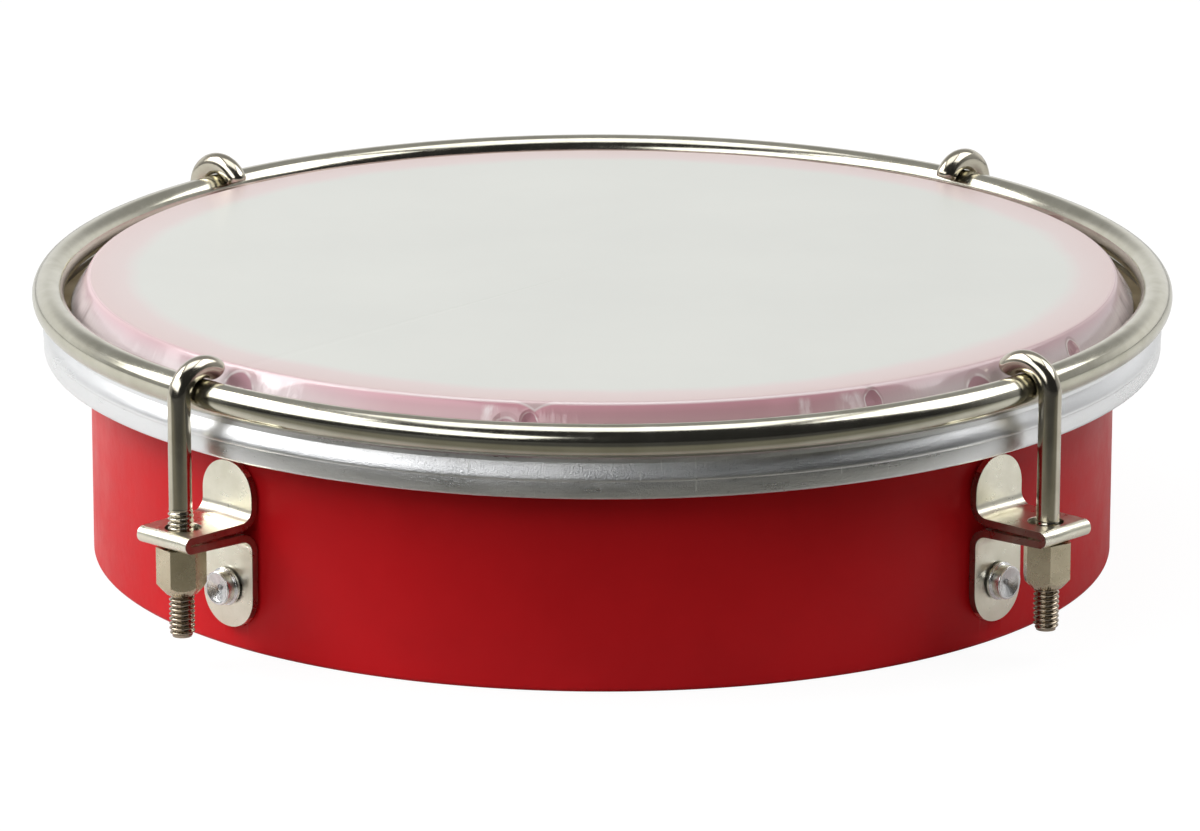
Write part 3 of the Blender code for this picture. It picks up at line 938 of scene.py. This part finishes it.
def channel_ring(look):
    """The channel: its outer face bulges in the upper part and steps in to a flat lower band."""
    inner, outer = channel_inner(), channel_outer()
    top = channel_top()
    bottom = top - CHANNEL_HEIGHT
    step = bottom + CHANNEL_HEIGHT * CHANNEL_STEP_SHARE
    flank = top - step - CHANNEL_STEP_RISE - CHANNEL_LIP
    lip = outer - CHANNEL_BULGE - CHANNEL_LIP
    outline = arc((lip, top - CHANNEL_LIP), CHANNEL_LIP, QUARTER, QUARTER / 3, 4)
    for i in range(CHANNEL_BULGE_STEPS, -1, -1):
        share = i / CHANNEL_BULGE_STEPS
        bulge = outer - CHANNEL_BULGE * share**CHANNEL_BULGE_POWER
        outline.append((bulge, step + CHANNEL_STEP_RISE + flank * share))
    outline += [(outer - CHANNEL_STEP * share, step + rise) for share, rise in STEP_SHAPE]
    outline.append((outer - CHANNEL_STEP * CHANNEL_BAND_SHARE, bottom + CHANNEL_BAND_FOOT))
    foot = bottom + CHANNEL_FOOT
    outline += arc((outer - CHANNEL_STEP - CHANNEL_FOOT, foot), CHANNEL_FOOT, 0, -QUARTER, 4)
    outline += arc((inner + CHANNEL_FOOT, foot), CHANNEL_FOOT, -QUARTER, -2 * QUARTER, 4)
    floor = bottom + CHANNEL_WALL
    outline += [
        (inner, top - CHANNEL_BREAK),
        (inner + CHANNEL_BREAK, top),
        (inner + CHANNEL_WALL - CHANNEL_BREAK, top),
        (inner + CHANNEL_WALL, top - CHANNEL_BREAK),
        (inner + CHANNEL_WALL, floor),
        (outer - CHANNEL_WALL - CHANNEL_STEP, floor),
        (outer - CHANNEL_WALL - CHANNEL_STEP, top),
    ]
    made = tilt(turned("channel_ring", outline, look, RING_STEPS))
    return settle(made, "rim", "flesh_hoop", "flesh_hoop")


def rod_hoop(look):
    section = arc((rod_ring_radius(), rod_level()), ROD_RADIUS, 0, 2 * pi, 40)[:-1]
    made = tilt(turned("rod_hoop", section, look, RING_STEPS))
    return settle(made, "rim", "tension_hoop", "tension_hoop")


def strip_section(side):
    """The outline of the bent strip in (radius, height), from the bracket's own box."""
    low, high = box("bracket_" + side)
    _, bolt_radius = station_axis(side)
    underside = box("tuning_nut_" + side)[1].z + SEAT_GAP
    tab = shell_radius() + SEAT_GAP + STRIP_THICKNESS / 2
    fold = (STRIP_THICKNESS + STRIP_SLIT) / 2
    lower = underside + STRIP_THICKNESS / 2
    upper = lower + 2 * fold
    nose = bolt_radius + SHELF_REACH - STRIP_THICKNESS / 2 - fold
    bend = tab + STRIP_BEND
    path = [((tab, high.z), 0)]
    for centre, radius, start, end, steps in (
        ((bend, upper + STRIP_BEND), STRIP_BEND, 2 * QUARTER, 3 * QUARTER, BEND_STEPS),
        ((nose, upper - fold), fold, QUARTER, -QUARTER, FOLD_STEPS),
        ((bend, lower - STRIP_GAPE - STRIP_BEND), STRIP_BEND, QUARTER, 2 * QUARTER, BEND_STEPS),
    ):
        inside = start > end
        for i, point in enumerate(arc(centre, radius, start, end, steps)):
            turn = start + (end - start) * i / steps
            path.append((point, turn if inside else turn + pi))
    path.append(((tab, low.z), 0))
    half = STRIP_THICKNESS / 2
    front, back = [], []
    for (radius, height), square in path:
        across = (half * cos(square), half * sin(square))
        front.append((radius + across[0], height + across[1]))
        back.append((radius - across[0], height - across[1]))
    return front + back[::-1]


def round_tab_ends(bm, ends):
    """Rounds both tabs, whose corners run through the strip at these heights."""
    corners = [
        e
        for e in bm.edges
        if abs(e.verts[0].co.y - e.verts[1].co.y) < TOUCHING
        and any(all(abs(v.co.z - end) < TOUCHING for v in e.verts) for end in ends)
    ]
    shape = {"segments": TAB_ROUND_STEPS, "profile": 0.5, "affect": "EDGES"}
    offset = STRIP_WIDTH / 2 * TAB_ROUND_SHARE
    bmesh.ops.bevel(bm, geom=corners, offset=offset, clamp_overlap=False, **shape)


def strip_bracket(side, look):
    """The bent strip with its two holes, its edges broken as a press tool leaves them."""
    low, high = box("bracket_" + side)
    _, bolt_radius = station_axis(side)
    bm = bmesh.new()
    start = -STRIP_WIDTH / 2
    face = bm.faces.new([bm.verts.new((r, start, z)) for r, z in strip_section(side)])
    grown = bmesh.ops.extrude_face_region(bm, geom=[face])
    moved = [v for v in grown["geom"] if isinstance(v, bmesh.types.BMVert)]
    bmesh.ops.translate(bm, verts=moved, vec=(0, STRIP_WIDTH, 0))
    round_tab_ends(bm, (low.z, high.z))
    mesh = bpy.data.meshes.new("strip_" + side)
    bm.to_mesh(mesh)
    bm.free()
    made = finished("strip_" + side, mesh, look)
    bolt_place = (bolt_radius - BOLT_HOLE_INSET, 0, box("tuning_nut_" + side)[1].z)
    bolt_hole = drill("bolt_hole", BOLT_HOLE_RADIUS, 4 * STRIP_BEND, bolt_place, "Z")
    rivet_hole = rivet_drill(side, RIVET_DRILL_LENGTH)
    reshaped(made, [("DIFFERENCE", bolt_hole), ("DIFFERENCE", rivet_hole)], STRIP_BREAK)
    discard(bolt_hole, rivet_hole)
    cut_edges = made.data.attributes.new("cut", "FLOAT", "FACE").data
    for polygon, value in zip(made.data.polygons, cut_edges):
        value.value = float(abs(polygon.normal.y) > 0.8)
    return settle(turn_to(made, side), "drum_body", "bracket", "bracket_" + side)


def thread_radius(height, turn, start, end):
    """The bolt's radius at a height and turn: a right-hand thread between two heights."""
    if height > end:
        return WIRE_RADIUS
    phase = height / THREAD_PITCH - turn / (2 * pi)
    crest = (0.5 + 0.5 * cos(2 * pi * phase)) ** THREAD_CREST_POWER
    threaded = THREAD_ROOT + (THREAD_RADIUS - THREAD_ROOT) * crest
    grown = smooth_step((end - height) / THREAD_FADE)
    lead = smooth_step((height - start) / THREAD_LEAD_IN)
    radius = WIRE_RADIUS + (threaded - WIRE_RADIUS) * grown
    tip = THREAD_ROOT * THREAD_END_SHARE
    return tip + (radius - tip) * lead


def bolt_rows(base, thread_end, level, axis, wrap):
    """Loops of points up the bolt's leg, round the hook and out to its slanted tip."""
    bend = ROD_RADIUS + HOOK_CLEARANCE + WIRE_RADIUS
    turns = [2 * pi * i / THREAD_SIDES for i in range(THREAD_SIDES)]
    heights = []
    height = base
    while height < thread_end:
        heights.append(height)
        height += THREAD_PITCH / THREAD_STEPS_PER_TURN
    heights += [thread_end + (level - thread_end) * i / LEG_STEPS for i in range(LEG_STEPS)]
    rows = []
    for height in heights:
        loop = []
        for turn in turns:
            radius = thread_radius(height, turn, base, thread_end)
            loop.append((axis + radius * cos(turn), radius * sin(turn), height))
        rows.append(loop)
    pivot = Vector((axis - bend, 0, level))
    for i in range(HOOK_STEPS + 1):
        rows.append(hook_loop(turns, wrap * i / HOOK_STEPS, 1.0, 0.0, bend, pivot))
    for share in HOOK_TIP_STEPS:
        size = 1 - (1 - HOOK_TIP_SHARE) * share**2
        rows.append(hook_loop(turns, wrap, size, share, bend, pivot))
    return rows


def hook_loop(turns, swing, size, share, bend, pivot):
    """One loop of the hook. Past the bend its outer side runs on a little further."""
    out = Vector((cos(swing), 0, sin(swing)))
    ahead = Vector((-sin(swing), 0, cos(swing)))
    reach = Vector((bend * cos(swing), 0, HOOK_RISE * sin(swing)))
    centre = pivot + reach
    loop = []
    for turn in turns:
        slant = 1 - HOOK_TIP_SLANT + HOOK_TIP_SLANT * cos(turn)
        across = out * cos(turn) + Vector((0, 1, 0)) * sin(turn)
        point = centre + across * (WIRE_RADIUS * size)
        loop.append(point + ahead * (HOOK_TIP_LENGTH * share * slant))
    return loop


def hook_bolt(side, thread_length, wrap, look):
    """The wire hook with its rolled right-hand thread."""
    angle, axis = station_axis(side)
    base = box("hook_bolt_" + side)[0].z
    level = rod_level() - rod_ring_radius() * cos(angle) * sin(TILT)
    rows = bolt_rows(base, base + thread_length, level, axis, wrap)
    made = lofted("hook_" + side, rows, look, False)
    made.data.set_sharp_from_angle(angle=THREAD_SHARP_ANGLE)
    turn_to(made, side)
    return settle(made, "bolt_" + side, "hook_bolt", "hook_bolt_" + side)


def hex_nut(side, turn, look):
    """The tall hexagon nut: coned lower end, countersunk bore."""
    low, high = box("tuning_nut_" + side)
    _, axis = station_axis(side)
    above = high.z + (high.z - low.z)
    below = low.z - (high.z - low.z)
    corner = NUT_ACROSS_FLATS / 2 / cos(pi / 6)
    turns = [pi / 3 * i for i in range(6)]
    rows = []
    for z in (low.z, high.z):
        rows.append([(corner * cos(a), corner * sin(a), z) for a in turns])
    made = lofted("hex_nut_" + side, rows, look, False)
    wide = NUT_ACROSS_FLATS
    rise = (wide - NUT_NOSE_RADIUS) * tan(NUT_NOSE_SLOPE)
    nose = [(0, above), (wide, above), (wide, low.z + rise), (NUT_NOSE_RADIUS, low.z), (0, low.z)]
    mouth = NUT_BORE_RADIUS + NUT_SINK
    bore = [(0, below), (mouth, below), (mouth, low.z), (NUT_BORE_RADIUS, low.z + NUT_SINK)]
    bore += [(NUT_BORE_RADIUS, above), (0, above)]
    nose_tool = turned("nose_tool", nose, None, NUT_CONE_STEPS)
    bore_tool = turned("bore_tool", bore, None, SMALL_STEPS)
    reshaped(made, [("INTERSECT", nose_tool), ("DIFFERENCE", bore_tool)], NUT_BREAK)
    discard(nose_tool, bore_tool)
    made.data.transform(Matrix.Translation((axis, 0, 0)) @ Matrix.Rotation(turn, 4, "Z"))
    return settle(turn_to(made, side), "nut_" + side, "tuning_nut", "tuning_nut_" + side)


def rivet_stack():
    """Distances from the drum's axis along a rivet: seat, face, washer's outer face, bulb's end."""
    seat = shell_radius() + SEAT_GAP + STRIP_THICKNESS + SEAT_GAP
    face = seat + RIVET_FLANGE_THICKNESS + RIVET_BOSS_HEIGHT
    washer = shell_radius() - SHELL_WALL - SEAT_GAP
    bulb = washer - WASHER_THICKNESS - SEAT_GAP
    return seat, face, washer, bulb


def riveted(name, outline, side, look, slot):
    """A piece turned round the rivet's axis, settled at its station."""
    made = turned(f"{name}_{side}", outline, look, SMALL_STEPS, "X")
    made.data.transform(Matrix.Translation((0, 0, rivet_height(side))))
    return settle(turn_to(made, side), "drum_body", slot, f"{slot}_{side}")


def blind_rivet(side, look):
    """Flange, dished boss, shank and the end that the pin swelled inside the drum."""
    seat, face, _, bulb = rivet_stack()
    bore = PIN_RADIUS + SEAT_GAP
    tail = bulb - RIVET_BULB_LENGTH
    waist = bulb - RIVET_BULB_LENGTH / 2
    swell = RIVET_BULB_RADIUS - RIVET_SHANK_RADIUS
    flange_round = RIVET_FLANGE_THICKNESS * RIVET_FLANGE_ROUND_SHARE
    flange_top = seat + RIVET_FLANGE_THICKNESS
    flange = (RIVET_FLANGE_RADIUS - flange_round, flange_top - flange_round)
    boss = (RIVET_BOSS_RADIUS - RIVET_ROUND, face - RIVET_ROUND)
    outline = [(bore, tail), (RIVET_SHANK_RADIUS - RIVET_ROUND, tail)]
    for i in range(13):
        share = i / 12
        bulge = sin(pi * share) ** 0.7
        along = waist + (share - 0.5) * RIVET_BULB_LENGTH
        outline.append((RIVET_SHANK_RADIUS + swell * bulge, along))
    outline += [(RIVET_SHANK_RADIUS, seat), (RIVET_FLANGE_RADIUS - RIVET_BREAK, seat)]
    outline += arc(flange, flange_round, 0, QUARTER, 4)
    outline.append((RIVET_BOSS_RADIUS + RIVET_FILLET, flange_top))
    outline.append((RIVET_BOSS_RADIUS, flange_top + RIVET_FILLET))
    outline += arc(boss, RIVET_ROUND, 0, QUARTER, 4)
    rim = RIVET_BOSS_RADIUS - RIVET_DISH_EDGE - RIVET_BREAK
    for i in range(9):
        share = i / 8
        radius = rim + (RIVET_THROAT - rim) * share
        outline.append((radius, face - RIVET_DISH * share**0.9))
    depth = face - RIVET_DISH - RIVET_BREAK
    outline += [(RIVET_THROAT, depth), (bore, depth - RIVET_BREAK)]
    return riveted("blind_rivet", outline, side, look, "rivet")


def broken_pin(side, look):
    """The pin: a torn neck outside and a rounded head inside."""
    _, face, _, bulb = rivet_stack()
    neck = bulb - RIVET_BULB_LENGTH - SEAT_GAP
    shoulder = neck - PIN_HEAD_BREAK
    torn = face - PIN_RECESS
    outline = [(PIN_RADIUS * across, torn + PIN_RADIUS * rise) for across, rise in TORN_NECK]
    outline += [(PIN_RADIUS, neck), (PIN_HEAD_RADIUS - PIN_HEAD_BREAK, neck)]
    depth = PIN_HEAD_LENGTH - PIN_HEAD_BREAK
    for radius, drop in arc((0, 0), 1.0, 0, -QUARTER):
        outline.append((PIN_HEAD_RADIUS * radius, shoulder + depth * drop))
    return riveted("broken_pin", outline, side, look, "rivet_pin")


def stamped_washer(side, look):
    """The washer under the swelled end, rounded on its punched side."""
    _, _, outer_face, _ = rivet_stack()
    wall = shell_radius() - SHELL_WALL
    rise = wall - sqrt(wall**2 - WASHER_RADIUS**2)
    hole = RIVET_SHANK_RADIUS + SEAT_GAP
    outer = outer_face - rise
    inner = outer - WASHER_THICKNESS
    corners = [(hole, outer), (WASHER_RADIUS, outer), (WASHER_RADIUS, inner), (hole, inner)]
    return riveted("washer", rounded(corners, WASHER_ROUND), side, look, "inner_washer")


def add_camera():
    data = bpy.data.cameras.new("camera")
    data.sensor_fit = "HORIZONTAL"
    data.sensor_width = SENSOR_WIDTH
    data.lens = CAMERA_LENS
    camera = placed("camera", data)
    rise = Vector((0, -cos(CAMERA_ELEVATION), sin(CAMERA_ELEVATION)))
    camera.location = Vector(CAMERA_AIM) + rise * CAMERA_DISTANCE
    lift = Matrix.Rotation(QUARTER - CAMERA_ELEVATION, 3, "X")
    camera.rotation_euler = (lift @ Matrix.Rotation(CAMERA_ROLL, 3, "Z")).to_euler()
    bpy.context.scene.camera = camera


def softbox(name, azimuth, elevation, distance, width, height, power):
    """An area lamp that faces the drum from this azimuth, 0 at the front and growing towards +X."""
    data = bpy.data.lights.new(name, "AREA")
    data.shape = "RECTANGLE"
    data.size = width
    data.size_y = height
    data.energy = power
    lamp = placed(name, data)
    rise = radians(elevation)
    place = unit(radians(azimuth)) * cos(rise)
    place.z = sin(rise)
    lamp.location = place * distance + Vector((0, 0, LAMP_AIM_HEIGHT))
    lamp.rotation_euler = place.to_track_quat("Z", "Y").to_euler()


def add_floor():
    """A plain pale floor that keeps the drum's shadow, clear from below and inside the drum."""
    reach = FLOOR_REACH
    mesh = bpy.data.meshes.new("floor")
    corners = [(-reach, -reach, 0), (reach, -reach, 0), (reach, reach, 0), (-reach, reach, 0)]
    mesh.from_pydata(corners, [], [(0, 1, 2, 3)])
    floor = placed("floor", mesh)
    look = Look("floor_paper", Roughness=0.9)
    paths = look.add("LightPath").outputs
    # Rays other than the camera's see the floor's painted shade bands, dark in front of the drum.
    front, back = FLOOR_SHADE_BANDS[0][0], FLOOR_SHADE_BANDS[-1][0]
    stops = [((y - front) / (back - front), tone) for y, tone in FLOOR_SHADE_BANDS]
    tone = look.ramp(look.span(look.parts()["Y"], front, back), *stops)
    look.set(look.shader, "Base Color", look.mix(paths["Is Camera Ray"], tone, FLOOR_TONE))
    light = look.add("Emission", {"Color": (1.0, 1.0, 1.0), "Strength": FLOOR_WHITE}).outputs[0]
    clear = look.add("BsdfTransparent").outputs[0]
    paleness = look.times(paths["Is Camera Ray"], FLOOR_PALENESS)
    pale = look.add("MixShader", {0: paleness, 1: look.shader.outputs[0], 2: light}).outputs[0]
    foot = shell_radius() - BASE_ROUND
    inside = look.span(look.radius(), foot, foot - BASE_ROUND)
    below = look.add("NewGeometry").outputs["Backfacing"]
    cleared = look.math("MAXIMUM", below, inside)
    sided = look.add("MixShader", {0: cleared, 1: pale, 2: clear}).outputs[0]
    look.set(look.tree.nodes["Material Output"], "Surface", sided)
    mesh.materials.append(look.material)


def add_world():
    """White where it is seen. Shiny surfaces mirror a dim room with a white backdrop low behind."""
    world = bpy.data.worlds.new("studio")
    world.use_nodes = True
    bpy.context.scene.world = world
    room = Nodes(world.node_tree)
    smooth = {"kind": "SMOOTHSTEP"}
    way = room.add("TexCoord").outputs["Generated"]
    way = room.add("SeparateXYZ", {"Vector": way}).outputs
    levels = room.span(way["Y"], *ROOM_FRONT_TO_BACK, ROOM_IN_FRONT, ROOM_ABOVE, **smooth)
    low = room.span(way["Z"], *BACKDROP_TOP, 1.0, 0.0, **smooth)
    behind = room.span(way["Y"], *BACKDROP_SIDES, **smooth)
    mirrored = room.between(room.times(low, behind), levels, BACKDROP_WHITE)
    paths = room.add("LightPath").outputs
    seen = room.math("MAXIMUM", paths["Is Camera Ray"], paths["Is Transmission Ray"])
    fill = room.span(way["Z"], *ROOM_BELOW_TO_FILL, ROOM_BELOW, ROOM_FILL, **smooth)
    strength = room.between(seen, room.between(paths["Is Glossy Ray"], fill, mirrored), 1.0)
    background = room.tree.nodes["Background"]
    room.set(background, "Color", (1.0, 1.0, 1.0))
    room.set(background, "Strength", strength)


def add_studio():
    add_camera()
    add_floor()
    add_world()
    for lamp in LAMPS:
        softbox(*lamp)


def add_drum():
    steel = pin_steel()
    zinc = zinc_plate()
    bright = bright_aluminium()
    strip = strip_nickel()
    wire_tones = (0.50, 0.46, 0.37), (0.64, 0.60, 0.50)
    darkening_height = box("hook_bolt_front_left")[0].z + THREAD_DARKENING_REACH
    wire = plated("bolt_nickel", *wire_tones, 0.11, 0.21, darker_below=darkening_height)
    hexagon = plated("nut_nickel", (0.56, 0.49, 0.35), (0.70, 0.62, 0.46), 0.20, 0.32)
    rod_tones = (0.56, 0.54, 0.44), (0.66, 0.64, 0.54)
    rod = plated("rod_nickel", *rod_tones, 0.12, 0.20, turned_lines=True)
    shell_wall(red_lacquer())
    drumhead_skin(milky_film())
    channel_ring(scratched_aluminium())
    rod_hoop(rod)
    lock_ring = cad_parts["head_lock_ring"].data.materials
    lock_ring.clear()
    lock_ring.append(lock_resin())
    for index, side in enumerate(STATIONS):
        strip_bracket(side, strip)
        hook_bolt(side, THREAD_LENGTHS[index], HOOK_WRAPS[index], wire)
        hex_nut(side, NUT_TURNS[index], hexagon)
        blind_rivet(side, bright)
        broken_pin(side, steel)
        stamped_washer(side, zinc)


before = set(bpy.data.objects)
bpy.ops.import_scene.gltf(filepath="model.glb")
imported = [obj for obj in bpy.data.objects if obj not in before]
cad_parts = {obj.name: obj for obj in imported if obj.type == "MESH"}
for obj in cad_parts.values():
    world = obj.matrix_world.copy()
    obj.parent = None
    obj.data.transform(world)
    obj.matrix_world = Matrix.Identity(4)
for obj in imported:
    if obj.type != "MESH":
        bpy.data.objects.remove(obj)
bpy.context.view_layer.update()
add_drum()
add_studio()
bpy.context.scene.view_settings.view_transform = "Standard"
